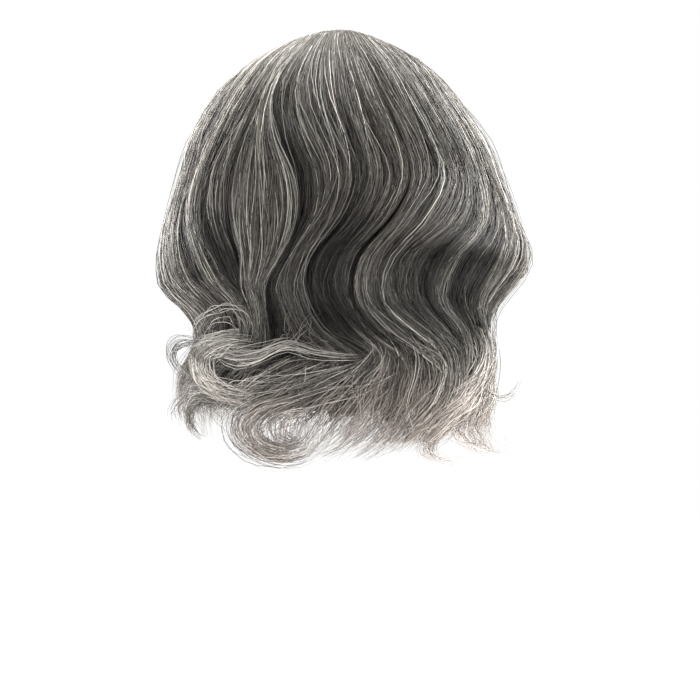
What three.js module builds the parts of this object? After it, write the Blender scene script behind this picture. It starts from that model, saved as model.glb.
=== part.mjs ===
// A wavy grey bob wig, as worn: a net cap that fits the head, smooth crown hair that falls
// from a parting, long waved locks over the sides and the back, a shorter hem layer of curled
// ends under them, and a few loose curls on the hem.
//
// Millimetres, +Z up, +Y the way the wearer faces, +X the wearer's right.
// The origin is the inside of the cap at the crown of the head.
//
// A place on the hair is an azimuth in degrees round the head, 0 at the middle of the back and
// positive to the wearer's right, and a drop in millimetres below the highest hair.
import * as THREE from "three";

// Driving sizes
const HEAD = { halfWidth: 76, back: 95, front: 93, crownToWidest: 90, napeTaper: 0.12, napeLength: 60 };
const CAP_WALL = 1.5;
const HAIR_ABOVE_CAP = 14; // from the origin to the highest hair
const LOCK_GAP = 0.8; // from one piece of hair to the next, each side of their shared edge
const CROWN_GAP = 0.03; // the same between the crown hair and the locks, in levels
const LEAST_LOCK_WALL = 4; // how thick a sunk lock stays
const GROOVE = { depth: 5, growth: 0.25 }; // how far a lock's edges lie below its middle, and how soon
const SINK_POWER = 1.5; // above 1 a sunk lock is lowest below its half length
const HEM_ROUNDING = 1 / 3; // how much of a hem lock's thickness its edges lose

// The parting: where it runs, how far down the forehead, from which azimuth rows of hair start on
// it and how many degrees that takes, and how wide it is.
const PARTING = {
  azimuth: 172,
  frontDrop: 58,
  startAzimuth: 80,
  blendAzimuth: 20,
  forwardPower: 1.6,
  halfWidth: 3,
  leastDrop: 0.75,
};

// How finely the walls are divided
const CAP_COLUMNS = 36;
const CAP_ROWS = 9;
const CAP_CROWDING = 1.5; // above 1 the rows lie closer together towards the crown
const CROWN_ROWS_PER_LOCK = 2;
const CROWN_STEPS = 6;
const CROWN_CROWDING = 1.3;
const LOCK_STEPS = 11;
const LOCK_POINTS = 5; // across a lock's outer face, and as many across its inner face
const HEM_STEPS = 7;
const HEM_POINTS = 4;
const CURL_STEPS = 16;
const CURL_POINTS = 8; // round a curl

// Steps used to measure an outer form near a place, and the least drop where that works
const MEASURE = { turn: 1, fall: 0.5, leastDrop: 1, leastDegree: 0.05 };

const SALT_AND_PEPPER = { color: 0x6b6763, roughness: 0.45, metalness: 0 };
const PALE_ENDS = { color: 0x8d8781, roughness: 0.5, metalness: 0 };
const DARK_NET = { color: 0x2b2a29, roughness: 0.85, metalness: 0 };

// The cap's rim: how far below the origin it lies, from the nape to the forehead.
// It rises over each ear and comes down again in the tab in front of it.
const CAP_RIM = [
  { azimuth: 0, drop: 150 },
  { azimuth: 40, drop: 145 },
  { azimuth: 72, drop: 116 },
  { azimuth: 96, drop: 98 },
  { azimuth: 116, drop: 112 },
  { azimuth: 142, drop: 74 },
  { azimuth: 180, drop: 50 },
];

// Sections of the outer form of the long hair, from its highest point to the ends of the locks:
// half widths to the wearer's left and right, half depths to the back and the front, and how
// thick the hair is there.
const HAIR_SECTIONS = [
  { drop: 0, left: 0, right: 0, back: 0, front: 0, thick: 6 },
  { drop: 8, left: 33, right: 30, back: 37, front: 34, thick: 7 },
  { drop: 21, left: 59, right: 54, back: 64, front: 60, thick: 8 },
  { drop: 49, left: 90, right: 83, back: 95, front: 90, thick: 9 },
  { drop: 77, left: 106, right: 102, back: 114, front: 104, thick: 13 },
  { drop: 105, left: 114, right: 113, back: 124, front: 108, thick: 16 },
  { drop: 133, left: 122, right: 124, back: 129, front: 107, thick: 16 },
  { drop: 154, left: 127, right: 133, back: 130, front: 104, thick: 14 },
  { drop: 168, left: 128, right: 131, back: 127, front: 100, thick: 13 },
  { drop: 182, left: 125, right: 120, back: 121, front: 95, thick: 12 },
  { drop: 196, left: 111, right: 109, back: 113, front: 89, thick: 12 },
  { drop: 210, left: 101, right: 104, back: 108, front: 85, thick: 11 },
];

// Sections of the hem layer, which hangs inside the long locks and spreads out below them.
const HEM_SECTIONS = [
  { drop: 180, left: 78, right: 77, back: 85, front: 62, thick: 10 },
  { drop: 208, left: 82, right: 82, back: 88, front: 64, thick: 11 },
  { drop: 224, left: 97, right: 94, back: 100, front: 72, thick: 12 },
  { drop: 245, left: 112, right: 105, back: 112, front: 80, thick: 11 },
  { drop: 266, left: 113, right: 105, back: 111, front: 80, thick: 9 },
  { drop: 290, left: 106, right: 99, back: 103, front: 74, thick: 6 },
];

// The long locks, from the wearer's left front round the back to the right front. A row is a
// lock's left edge: its azimuth at each level in LEVELS, and how far the lock is sunk below its
// neighbours where it is lowest. The last row only closes the last lock.
const LEVELS = [22, 49, 77, 105, 133, 161, 189, 210];
const LOCK_START_LEVEL = 1; // the crown hair ends, and the locks begin, at LEVELS[1]
const LOCK_EDGES = [
  { name: "left_front_lock", edge: [-166, -150, -139, -133, -130, -129, -127, -126], sink: 0 },
  { name: "left_temple_lock", edge: [-140, -131, -124, -119, -117, -117, -114, -113], sink: 3 },
  { name: "left_ear_lock", edge: [-110, -108, -105, -103, -102, -104, -101, -99], sink: 0 },
  { name: "left_outer_lock", edge: [-84, -83, -84, -85, -84, -81, -77, -75], sink: 0 },
  { name: "left_side_wave", edge: [-56, -57, -61, -64, -62, -52, -43, -42], sink: 0 },
  { name: "left_slim_wave", edge: [-41, -43, -46, -52, -51, -43, -37, -38], sink: 4 },
  { name: "teardrop_lock", edge: [-32, -35, -38, -41, -39, -33, -32, -35], sink: 0 },
  { name: "left_back_lock", edge: [-25, -31, -24, -16, -14, -18, -27, -30], sink: 9 },
  { name: "middle_wave", edge: [-5, -2, 3, 6, 1, -9, -11, -5], sink: 5 },
  { name: "second_wave", edge: [4, 9, 14, 17, 11, 0, -3, 5], sink: 3 },
  { name: "third_wave", edge: [13, 20, 25, 27, 19, 7, 6, 15], sink: 0 },
  { name: "fourth_wave", edge: [25, 32, 36, 38, 27, 14, 14, 26], sink: 0 },
  { name: "fifth_wave", edge: [38, 43, 46, 48, 37, 19, 21, 35], sink: 2 },
  { name: "right_side_wave", edge: [53, 52, 54, 55, 49, 32, 33, 49], sink: 0 },
  { name: "right_slim_wave", edge: [62, 60, 63, 63, 59, 43, 45, 61], sink: 5 },
  { name: "right_outer_lock", edge: [70, 68, 71, 71, 70, 58, 60, 72], sink: 0 },
  { name: "right_ear_lock", edge: [86, 84, 86, 87, 88, 84, 80, 84], sink: 0 },
  { name: "right_temple_lock", edge: [108, 106, 104, 103, 105, 105, 101, 101], sink: 3 },
  { name: "right_front_lock", edge: [136, 128, 122, 118, 118, 118, 114, 113], sink: 0 },
  { edge: [158, 148, 138, 132, 130, 129, 127, 126] },
];

// The hem locks, round the head the same way: a lock's left edge at each level in HEM_LEVELS,
// and the drop at which it ends. The last row only closes the last lock.
const HEM_LEVELS = [184, 214, 245, 280];
const HEM_TIP_WIDTH = 0.8; // of the lock's own width
const HEM_EDGES = [
  { edge: [-122, -124, -131, -138], end: 262 },
  { edge: [-97, -101, -109, -118], end: 268 },
  { edge: [-73, -79, -88, -98], end: 274 },
  { edge: [-50, -58, -69, -80], end: 270 },
  { edge: [-30, -39, -50, -60], end: 272 },
  { edge: [-12, -21, -32, -41], end: 284 },
  { edge: [6, -2, -12, -20], end: 288 },
  { edge: [24, 18, 9, 1], end: 286 },
  { edge: [44, 41, 33, 23], end: 290 },
  { edge: [64, 65, 60, 50], end: 286 },
  { edge: [87, 90, 89, 82], end: 274 },
  { edge: [108, 112, 114, 114], end: 264 },
  { edge: [124, 128, 133, 138] },
];

// Loose curls that stand off the hem. The centre of each spiral is a place on the hem layer and
// a distance out from it, and its plane faces an azimuth.
const CURLS = [
  { name: "left_curl", azimuth: -36, drop: 224, standOff: 18, facing: -18 },
  { name: "left_flick", azimuth: -78, drop: 229, standOff: 15, facing: -25 },
  { name: "left_hook", azimuth: -70, drop: 258, standOff: 12, facing: -30 },
  { name: "nape_loop", azimuth: -22, drop: 277, standOff: 9, facing: -12 },
  { name: "right_flick", azimuth: 80, drop: 250, standOff: 14, facing: 20 },
];

// The spirals of those curls, seen from where they face: 0 points to the right and 90 up. Then
// the sizes of the spiral and of the hair along it.
const SPIRALS = {
  left_curl: { start: -20, sweep: -285, radius: 17, wide: 10, deep: 7 },
  left_flick: { start: -10, sweep: -290, radius: 11, wide: 6, deep: 5 },
  left_hook: { start: 25, sweep: 240, radius: 13, wide: 7, deep: 6 },
  nape_loop: { start: 70, sweep: 290, radius: 20, wide: 10, deep: 7 },
  right_flick: { start: -160, sweep: 190, radius: 11, wide: 6, deep: 5 },
};
const CURL_SHRINK = 0.25; // how much of its radius a spiral loses on the way to its tip
const CURL_TAPER = 0.7; // how much of its thickness a curl loses on the way to its tip

const degrees = THREE.MathUtils.degToRad;
const lerp = THREE.MathUtils.lerp;
const clamp = THREE.MathUtils.clamp;

// The value at x of a smooth curve through (xs[i], ys[i]), held flat outside them.
function smoothCurve(xs, ys, x) {
  const last = xs.length - 1;
  if (x <= xs[0]) return ys[0];
  if (x >= xs[last]) return ys[last];
  const slope = (i) => {
    const before = Math.max(i - 1, 0);
    const after = Math.min(i + 1, last);
    return (ys[after] - ys[before]) / (xs[after] - xs[before]);
  };
  const i = xs.findIndex((value) => value > x) - 1;
  const span = xs[i + 1] - xs[i];
  const t = (x - xs[i]) / span;
  const eased = t * t * (3 - 2 * t);
  const bend = t * (1 - t) * span;
  return lerp(ys[i], ys[i + 1], eased) + bend * ((1 - t) * slope(i) - t * slope(i + 1));
}

// One column of a section table at a drop. Near the top of a dome its widths grow with the
// square root of the drop, so the curve runs over that.
function sectionSize(sections, column, drop) {
  const roots = sections.map((row) => Math.sqrt(row.drop));
  const sizes = sections.map((row) => row[column]);
  return smoothCurve(roots, sizes, Math.sqrt(Math.max(drop, 0)));
}

// The point of an outer form at an azimuth and a drop.
function formPoint(sections, azimuth, drop) {
  const across = Math.sin(degrees(azimuth));
  const backward = Math.cos(degrees(azimuth));
  const width = sectionSize(sections, across < 0 ? "left" : "right", drop);
  const depth = sectionSize(sections, backward > 0 ? "back" : "front", drop);
  return new THREE.Vector3(width * across, -depth * backward, HAIR_ABOVE_CAP - drop);
}

// The outward direction of that form there.
function formNormal(sections, azimuth, drop) {
  const { turn, fall, leastDrop } = MEASURE;
  const lowered = Math.max(drop, leastDrop);
  const round = formPoint(sections, azimuth + turn, lowered);
  round.sub(formPoint(sections, azimuth - turn, lowered));
  const down = formPoint(sections, azimuth, lowered + fall);
  down.sub(formPoint(sections, azimuth, lowered - fall));
  return down.cross(round).normalize();
}

// A point below (depth > 0) or above the outer form.
function hairPoint(sections, azimuth, drop, depth) {
  const normal = formNormal(sections, azimuth, drop);
  return formPoint(sections, azimuth, drop).addScaledVector(normal, -depth);
}

// Degrees of azimuth that span a distance along the form.
function turnFor(sections, azimuth, drop, distance) {
  const here = formPoint(sections, azimuth, drop);
  const oneDegree = here.distanceTo(formPoint(sections, azimuth + 1, drop));
  return distance / Math.max(oneDegree, MEASURE.leastDegree);
}

// A closed wall through rings of points. The first half of a ring is its outer face, and the
// second half its inner face coming back, so each end closes as a strip between the two.
function loft(rings) {
  const size = rings[0].length;
  const points = rings.flat().flatMap((p) => [p.x, p.y, p.z]);
  const triangles = [];
  const quad = (a, b, c, d) => triangles.push(a, b, c, a, c, d);
  for (let i = 0; i + 1 < rings.length; i++) {
    for (let j = 0; j < size; j++) {
      const next = (j + 1) % size;
      quad(i * size + j, i * size + next, (i + 1) * size + next, (i + 1) * size + j);
    }
  }
  const end = (rings.length - 1) * size;
  for (let j = 0; j + 1 < size / 2; j++) {
    quad(j + 1, j, size - 1 - j, size - 2 - j);
    quad(end + j, end + j + 1, end + size - 2 - j, end + size - 1 - j);
  }
  return solid(points, triangles);
}

// A geometry whose faces point outwards, whichever way round they were listed.
function solid(points, triangles) {
  const corner = (i) => new THREE.Vector3().fromArray(points, triangles[i] * 3);
  let volume = 0;
  for (let i = 0; i < triangles.length; i += 3) {
    volume += corner(i).dot(corner(i + 1).cross(corner(i + 2)));
  }
  const faces = volume < 0 ? [...triangles].reverse() : triangles;
  const geometry = new THREE.BufferGeometry();
  geometry.setAttribute("position", new THREE.Float32BufferAttribute(points, 3));
  geometry.setIndex(faces);
  geometry.computeVertexNormals();
  return geometry;
}

function piece(name, geometry, looks) {
  const mesh = new THREE.Mesh(geometry, new THREE.MeshStandardMaterial(looks));
  mesh.name = name;
  return mesh;
}

// The cap: an ovoid dome over the head, tapering to the nape, cut off at its rim.
function headPoint(azimuth, drop, outward) {
  const above = Math.max(1 - drop / HEAD.crownToWidest, 0);
  const below = Math.max(drop - HEAD.crownToWidest, 0) / HEAD.napeLength;
  const share = Math.sqrt(1 - above * above) - HEAD.napeTaper * below * below;
  const across = Math.sin(degrees(azimuth));
  const backward = Math.cos(degrees(azimuth));
  const depth = (backward > 0 ? HEAD.back : HEAD.front) + outward;
  const width = HEAD.halfWidth + outward;
  return new THREE.Vector3(width * share * across, -depth * share * backward, outward * above - drop);
}

function rimDrop(azimuth) {
  const turned = Math.abs(THREE.MathUtils.euclideanModulo(azimuth + 180, 360) - 180);
  return smoothCurve(CAP_RIM.map((row) => row.azimuth), CAP_RIM.map((row) => row.drop), turned);
}

function cap() {
  const ring = (row, outward) =>
    Array.from({ length: CAP_COLUMNS }, (_, column) => {
      const azimuth = (360 * column) / CAP_COLUMNS;
      const share = row / CAP_ROWS;
      return headPoint(azimuth, rimDrop(azimuth) * share ** CAP_CROWDING, outward);
    });
  const rows = Array.from({ length: CAP_ROWS }, (_, i) => i + 1);
  const outerRings = rows.map((row) => ring(row, CAP_WALL));
  const innerRings = rows.reverse().map((row) => ring(row, 0));
  const rings = [...outerRings, ...innerRings];
  const poles = [headPoint(0, 0, CAP_WALL), headPoint(0, 0, 0)];
  const points = [...rings.flat(), ...poles].flatMap((p) => [p.x, p.y, p.z]);
  const outerPole = rings.length * CAP_COLUMNS;
  const lastRing = outerPole - CAP_COLUMNS;
  const triangles = [];
  for (let column = 0; column < CAP_COLUMNS; column++) {
    const next = (column + 1) % CAP_COLUMNS;
    triangles.push(outerPole, column, next);
    for (let i = 0; i + 1 < rings.length; i++) {
      const here = i * CAP_COLUMNS;
      const there = here + CAP_COLUMNS;
      triangles.push(here + column, there + column, there + next);
      triangles.push(here + column, there + next, here + next);
    }
    triangles.push(lastRing + next, lastRing + column, outerPole + 1);
  }
  return piece("cap", solid(points, triangles), DARK_NET);
}

// How far down the parting a row of hair starts: at the crown for the back of the head, and
// further forward and lower towards the front.
function rootDrop(row) {
  const forward = Math.max(Math.abs(row.edge[0]) - PARTING.startAzimuth, 0);
  const furthest = Math.abs(LOCK_EDGES[0].edge[0]) - PARTING.startAzimuth;
  return PARTING.frontDrop * Math.min(forward / furthest, 1) ** PARTING.forwardPower;
}

// A row of hair has a level for its root, then those in LEVELS. Rows that start lower down the
// parting have their levels pushed down, less and less towards their ends.
function rowDrop(row, level) {
  const drop = smoothCurve([-1, ...LEVELS.keys()], [0, ...LEVELS], level);
  return drop + rootDrop(row) * (1 - drop / LEVELS.at(-1));
}

// Its azimuth at a level. A row that starts on the parting leaves it sideways.
function rowAzimuth(row, level) {
  const first = row.edge[0];
  const onParting = clamp((Math.abs(first) - PARTING.startAzimuth) / PARTING.blendAzimuth, 0, 1);
  const parting = first < 0 ? PARTING.azimuth - 360 : PARTING.azimuth;
  const root = lerp(first, parting, onParting);
  return smoothCurve([-1, ...LEVELS.keys()], [root, ...row.edge], level);
}

// The row that lies a share of the way from one lock edge to the next.
function rowBetween(left, right, share) {
  return { edge: left.edge.map((azimuth, i) => lerp(azimuth, right.edge[i], share)) };
}

// Its azimuth, kept clear of the parting.
function besideParting(row, level, drop) {
  const azimuth = rowAzimuth(row, level);
  const away = turnFor(HAIR_SECTIONS, PARTING.azimuth, drop, PARTING.halfWidth);
  if (row.edge[0] < 0) return Math.max(azimuth, PARTING.azimuth - 360 + away);
  return Math.min(azimuth, PARTING.azimuth - away);
}

// The crown hair: one smooth wall from the parting to where the locks begin.
function crownHair() {
  const end = LOCK_START_LEVEL - CROWN_GAP;
  const rings = [];
  for (let i = 0; i + 1 < LOCK_EDGES.length; i++) {
    const lastLock = i + 2 === LOCK_EDGES.length;
    for (let k = 0; k < CROWN_ROWS_PER_LOCK + lastLock; k++) {
      const row = rowBetween(LOCK_EDGES[i], LOCK_EDGES[i + 1], k / CROWN_ROWS_PER_LOCK);
      const outer = [];
      const inner = [];
      for (let step = 0; step <= CROWN_STEPS; step++) {
        const level = lerp(-1, end, (step / CROWN_STEPS) ** CROWN_CROWDING);
        const drop = Math.max(rowDrop(row, level), PARTING.leastDrop);
        const azimuth = besideParting(row, level, drop);
        const thick = sectionSize(HAIR_SECTIONS, "thick", drop);
        outer.push(formPoint(HAIR_SECTIONS, azimuth, drop));
        inner.unshift(hairPoint(HAIR_SECTIONS, azimuth, drop, thick));
      }
      rings.push([...outer, ...inner]);
    }
  }
  return piece("crown_hair", loft(rings), SALT_AND_PEPPER);
}

// A long lock: a waved wall, rounded across, between its own edge and the next one.
function longLock(left, right) {
  const start = LOCK_START_LEVEL + CROWN_GAP;
  const end = LEVELS.length - 1;
  const rings = [];
  for (let step = 0; step <= LOCK_STEPS; step++) {
    const along = step / LOCK_STEPS;
    const level = lerp(start, end, along);
    const sunk = left.sink * Math.sin(Math.PI * along ** SINK_POWER);
    const groove = GROOVE.depth * Math.min(along / GROOVE.growth, 1);
    const outer = [];
    const inner = [];
    for (let i = 0; i < LOCK_POINTS; i++) {
      const share = i / (LOCK_POINTS - 1);
      const row = rowBetween(left, right, share);
      const drop = rowDrop(row, level);
      const side = 2 * share - 1;
      const gap = turnFor(HAIR_SECTIONS, rowAzimuth(row, level), drop, LOCK_GAP);
      const azimuth = rowAzimuth(row, level) - side * gap;
      const thick = sectionSize(HAIR_SECTIONS, "thick", drop);
      const depth = Math.min(sunk + groove * side * side, thick - LEAST_LOCK_WALL);
      outer.push(hairPoint(HAIR_SECTIONS, azimuth, drop, depth));
      inner.unshift(hairPoint(HAIR_SECTIONS, azimuth, drop, thick));
    }
    rings.push([...outer, ...inner]);
  }
  return piece(left.name, loft(rings), SALT_AND_PEPPER);
}

// A hem lock: it sweeps to one side as it falls and narrows to its tip.
function hemLock(left, right, name) {
  const rings = [];
  const top = HEM_LEVELS[0];
  for (let step = 0; step <= HEM_STEPS; step++) {
    const along = step / HEM_STEPS;
    const drop = lerp(top, left.end, along);
    const from = smoothCurve(HEM_LEVELS, left.edge, drop);
    const to = smoothCurve(HEM_LEVELS, right.edge, drop);
    const narrowed = lerp(1, HEM_TIP_WIDTH, along * along);
    const gap = turnFor(HEM_SECTIONS, from, drop, LOCK_GAP);
    const halfWidth = ((to - from) / 2 - gap) * narrowed;
    const outer = [];
    const inner = [];
    for (let i = 0; i < HEM_POINTS; i++) {
      const side = (2 * i) / (HEM_POINTS - 1) - 1;
      const azimuth = (from + to) / 2 + side * halfWidth;
      const thick = sectionSize(HEM_SECTIONS, "thick", drop);
      outer.push(hairPoint(HEM_SECTIONS, azimuth, drop, HEM_ROUNDING * thick * side * side));
      inner.unshift(hairPoint(HEM_SECTIONS, azimuth, drop, thick));
    }
    rings.push([...outer, ...inner]);
  }
  return piece(name, loft(rings), PALE_ENDS);
}

// A loose curl: a flattened round section along a spiral.
function looseCurl(row) {
  const { start, sweep, radius, wide, deep } = SPIRALS[row.name];
  const centre = hairPoint(HEM_SECTIONS, row.azimuth, row.drop, -row.standOff);
  const facing = degrees(row.facing);
  const across = new THREE.Vector3(Math.cos(facing), Math.sin(facing), 0);
  const up = new THREE.Vector3(0, 0, 1);
  const outward = across.clone().cross(up);
  const rings = [];
  for (let step = 0; step <= CURL_STEPS; step++) {
    const share = step / CURL_STEPS;
    const angle = degrees(start + sweep * share);
    const taper = 1 - CURL_TAPER * share * share;
    const spiral = radius * (1 - CURL_SHRINK * share);
    const ring = [];
    for (let i = 0; i < CURL_POINTS; i++) {
      const round = (2 * Math.PI * (i + 0.5)) / CURL_POINTS;
      const reach = spiral + (wide / 2) * taper * Math.cos(round);
      ring.push(
        centre
          .clone()
          .addScaledVector(across, reach * Math.cos(angle))
          .addScaledVector(up, reach * Math.sin(angle))
          .addScaledVector(outward, (deep / 2) * taper * Math.sin(round)),
      );
    }
    rings.push(ring);
  }
  return piece(row.name, loft(rings), PALE_ENDS);
}

const longHair = new THREE.Group();
longHair.add(crownHair());
for (let i = 0; i + 1 < LOCK_EDGES.length; i++) {
  longHair.add(longLock(LOCK_EDGES[i], LOCK_EDGES[i + 1]));
}

const hem = new THREE.Group();
for (let i = 0; i + 1 < HEM_EDGES.length; i++) {
  hem.add(hemLock(HEM_EDGES[i], HEM_EDGES[i + 1], `hem_lock_${i + 1}`));
}
for (const row of CURLS) {
  hem.add(looseCurl(row));
}

const wig = new THREE.Group();
wig.add(cap(), longHair, hem);

export default wig;
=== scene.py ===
"""A wavy salt-and-pepper bob wig, seen from behind: fine strands over dark locks on a net cap.

The scene is in metres. The tables are in millimetres and degrees, and colours are linear. A place on
the hair is an azimuth round the head, 0 at the middle of the back and positive to the wearer's right,
and a drop below the highest hair. Long hair is also measured in levels, which count the drops in
LEVEL_DROPS from -1 at the root.
"""

import math

import bpy
import numpy as np
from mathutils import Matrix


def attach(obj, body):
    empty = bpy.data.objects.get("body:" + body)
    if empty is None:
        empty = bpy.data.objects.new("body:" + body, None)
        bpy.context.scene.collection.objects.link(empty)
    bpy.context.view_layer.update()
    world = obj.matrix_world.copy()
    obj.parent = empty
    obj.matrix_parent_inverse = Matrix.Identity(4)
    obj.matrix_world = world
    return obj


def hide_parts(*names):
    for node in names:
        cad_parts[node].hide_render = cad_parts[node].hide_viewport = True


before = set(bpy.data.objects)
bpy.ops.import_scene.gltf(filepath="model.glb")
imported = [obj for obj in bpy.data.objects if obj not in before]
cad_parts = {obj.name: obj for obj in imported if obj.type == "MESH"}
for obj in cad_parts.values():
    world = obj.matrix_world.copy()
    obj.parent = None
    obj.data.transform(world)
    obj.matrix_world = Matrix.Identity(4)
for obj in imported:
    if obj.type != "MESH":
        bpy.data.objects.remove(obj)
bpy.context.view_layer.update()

MM = 0.001
FULL_TURN = 2 * np.pi
SEED = 20417
random = np.random.default_rng(SEED)

# Head and cap
HEAD_HALF_WIDTH = 76
HEAD_BACK = 95
HEAD_FRONT = 93
HEAD_CROWN_TO_WIDEST = 90
HEAD_NAPE_TAPER = 0.12
HEAD_NAPE_LENGTH = 60
HAIR_ABOVE_CAP = 14  # from the inside of the cap to the highest hair
CAP_WALL = 1.5
CAP_RIM_AZIMUTHS = np.array((0, 40, 72, 96, 116, 142, 180), dtype=float)
CAP_RIM_DROPS = np.array((150, 145, 116, 98, 112, 74, 50), dtype=float)  # below the inside of the crown
CAP_COLUMNS = 97
CAP_ROWS = 30
CAP_FIRST_ROW = 0.03  # the share of the way to the rim at which the rows start
CAP_CROWDING = 1.4  # above 1 the rows lie closer together towards the crown

# Parting and whorl. Rows of hair with an azimuth beyond PARTING_START begin on the parting.
PARTING_AZIMUTH = 172
PARTING_START = 80
PARTING_FRONT_AZIMUTH = 166  # of the row that begins at the front end of the parting
PARTING_FRONT_DROP = 58
PARTING_POWER = 1.6  # above 1 the parting falls more steeply towards the front
PARTING_SETTLED_DROP = 210  # from here down every row is back at its own drop
PARTING_TURN = 2.8  # levels over which the hair turns down from the parting
PARTING_FULL_TURN = 0.6  # the share of the way forward from which the turn is that long
PARTING_EASE = 2.4
WHORL_FORWARD = 35  # how far in front of the highest point the hair fans out from
WHORL_END_LEVEL = 1.5
WHORL_EASE = 1.5
WHORL_DEEPEST_DROP = 150.0
WHORL_HALVINGS = 20

# Outer form of the hair: half widths to the left and right, half depths to the back and front, and
# how thick the hair is, at each drop
FORM_COLUMNS = ("drop", "left", "right", "back", "front", "thick")
FORM_ROWS = (
    (0, 0, 0, 0, 0, 6),
    (8, 33, 30, 37, 34, 7),
    (21, 59, 54, 64, 60, 8),
    (49, 90, 83, 95, 90, 9),
    (77, 106, 102, 114, 104, 13),
    (105, 114, 113, 124, 108, 16),
    (133, 122, 124, 129, 107, 16),
    (154, 127, 133, 130, 104, 14),
    (168, 128, 131, 127, 100, 13),
    (182, 125, 120, 121, 95, 12),
    (196, 111, 109, 113, 89, 12),
    (210, 102, 105, 109, 85, 11),
    (224, 103, 103, 110, 84, 11),
    (245, 112, 106, 114, 86, 10),
    (266, 113, 106, 113, 84, 9),
    (290, 107, 101, 106, 78, 6),
)
FORM = dict(zip(FORM_COLUMNS, np.array(FORM_ROWS, dtype=float).T))

# The long locks, from the wearer's left front round the back to the right front. A row is a lock's
# left edge: its azimuth at each level from 0. tail is the level where its strands end, left and right
# how deep its two edges lie, sink how far the whole lock lies below its neighbours lower down, strands
# how many it has and pale the share of pale strands. The glows below say where those are painted
# brighter, as a painted highlight, and FACE_EDGES where across a lock its edge to the face lies.
LEVELS = np.arange(-1, 11, dtype=float)
LEVEL_DROPS = np.array((0, 22, 49, 77, 105, 133, 161, 189, 210, 231, 259, 286), dtype=float)
LOCK_COLUMNS = ("name", "tail", "left", "right", "sink", "strands", "pale", "edge")
LOCK_ROWS = (
    ("left_front_lock", 9.2, 4, 4, 0, 175, 0.3,
     (-166, -150, -139, -133, -130, -129, -127, -126, -127, -130, -128)),
    ("left_temple_lock", 9.0, 4, 4, 3, 155, 0.28,
     (-140, -131, -124, -119, -117, -117, -114, -113, -114, -118, -120)),
    ("left_ear_lock", 8.8, 4, 4, 0, 175, 0.34,
     (-110, -108, -105, -103, -102, -104, -101, -99, -100, -106, -110)),
    ("left_outer_lock", 8.3, 2, 13, 0, 250, 0.56,
     (-84, -83, -84, -85, -84, -81, -77, -75, -78, -88, -96)),
    ("left_side_wave", 8.0, 2, 13, 0, 200, 0.58,
     (-56, -57, -61, -64, -62, -52, -43, -42, -50, -66, -72)),
    ("left_slim_wave", 8.0, 3, 12, 7, 140, 0.22,
     (-41, -43, -46, -52, -51, -43, -37, -38, -44, -56, -58)),
    ("teardrop_lock", 8.1, 2, 3, 0, 250, 0.4, (-32, -35, -38, -41, -39, -33, -32, -35, -38, -46, -44)),
    ("left_back_lock", 8.3, 9, 4, 2, 285, 0.18,
     (-25, -31, -24, -16, -14, -18, -27, -30, -30, -34, -30)),
    ("middle_wave", 9.4, 7, 8, 7, 200, 0.17, (-5, -2, 3, 6, 1, -9, -11, -5, 12, 3, -10)),
    ("second_wave", 9.6, 5, 9, 5, 190, 0.17, (4, 9, 14, 17, 11, 0, -3, 5, 16, 9, -2)),
    ("third_wave", 9.7, 1.5, 7, 0, 200, 0.17, (13, 20, 25, 27, 19, 7, 6, 15, 33, 28, 14)),
    ("fourth_wave", 9.7, 2, 8, 0, 175, 0.19, (25, 32, 36, 38, 27, 14, 14, 26, 41, 36, 22)),
    ("fifth_wave", 9.7, 3, 11, 2, 190, 0.16, (38, 43, 46, 48, 37, 19, 21, 35, 48, 43, 29)),
    ("right_side_wave", 9.5, 2, 10, 2, 175, 0.22, (53, 52, 54, 55, 49, 32, 33, 49, 55, 46, 34)),
    ("right_slim_wave", 9.3, 6, 3, 5, 140, 0.26, (62, 60, 63, 63, 59, 43, 45, 61, 64, 52, 38)),
    ("right_outer_lock", 9.3, 3, 4, 0, 225, 0.32, (70, 68, 71, 71, 70, 58, 60, 72, 74, 62, 48)),
    ("right_ear_lock", 9.5, 4, 4, 0, 175, 0.32, (86, 84, 86, 87, 88, 84, 80, 84, 86, 84, 80)),
    ("right_temple_lock", 9.4, 4, 4, 3, 155, 0.28,
     (108, 106, 104, 103, 105, 105, 101, 101, 102, 104, 106)),
    ("right_front_lock", 9.5, 4, 4, 0, 175, 0.3,
     (136, 128, 122, 118, 118, 118, 114, 113, 114, 118, 120)),
)
LAST_LOCK_EDGE = (158, 148, 138, 132, 130, 129, 127, 126, 127, 130, 130)
LOCKS = [dict(zip(LOCK_COLUMNS, row)) for row in LOCK_ROWS] + [dict(edge=LAST_LOCK_EDGE)]
# painted highlights: the pale strands of these left locks are made brighter
PAINTED_HIGHLIGHTS = dict(left_outer_lock=1.2, left_side_wave=1.25, teardrop_lock=1.15)
FACE_EDGES = dict(left_front_lock=-0.015, right_front_lock=1.015)
GROOVE_POWER = 1.8  # above 1 a lock is flat in the middle and falls away at its edges
UNDER_HAIR = 6  # how much thicker a long lock is with its under-hair

# Strands of the long locks. Sways are to the side and lifts outward, and paces are in radians a level.
STRAND_POINTS = 29
STEP_SHARES = (0, 0.19, 0.285, 1)  # the share of a strand's points above each of STEP_LEVELS
STEP_LEVELS = (-1, 0.8, 2.3, 10)
LONG_RADIUS = 0.235
LONG_CLUMP_SIZE = 9
LONG_FEWEST_CLUMPS = 5
ROOT_SPREAD = 0.4  # how many levels below the first the last strands start
TAIL_LEVELS = (7.5, 10.0)
LONG_DEEPEST = 5.0  # how far a strand may lie below its clump
FACE_STRANDS = 0.4  # the share of a front lock's strands that cover its edge to the face
FACE_DEPTH = 18
FACE_SHADE = 0.35  # how deep the strands there look to the painted depth shade, as a share of their depth
CLUMP_SWAY_PACE = 1.5
CLUMP_LIFT_PACE = 1.3
CLUMP_LIFT_PHASE = 1.7  # keeps a clump's lift out of step with its sway
EDGE_CALM = 0.6  # how much less the strands at a lock's edges sway
LOOSE_RISE = 0.6  # of their depth
END_CURL_LIFT = 0.6

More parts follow.
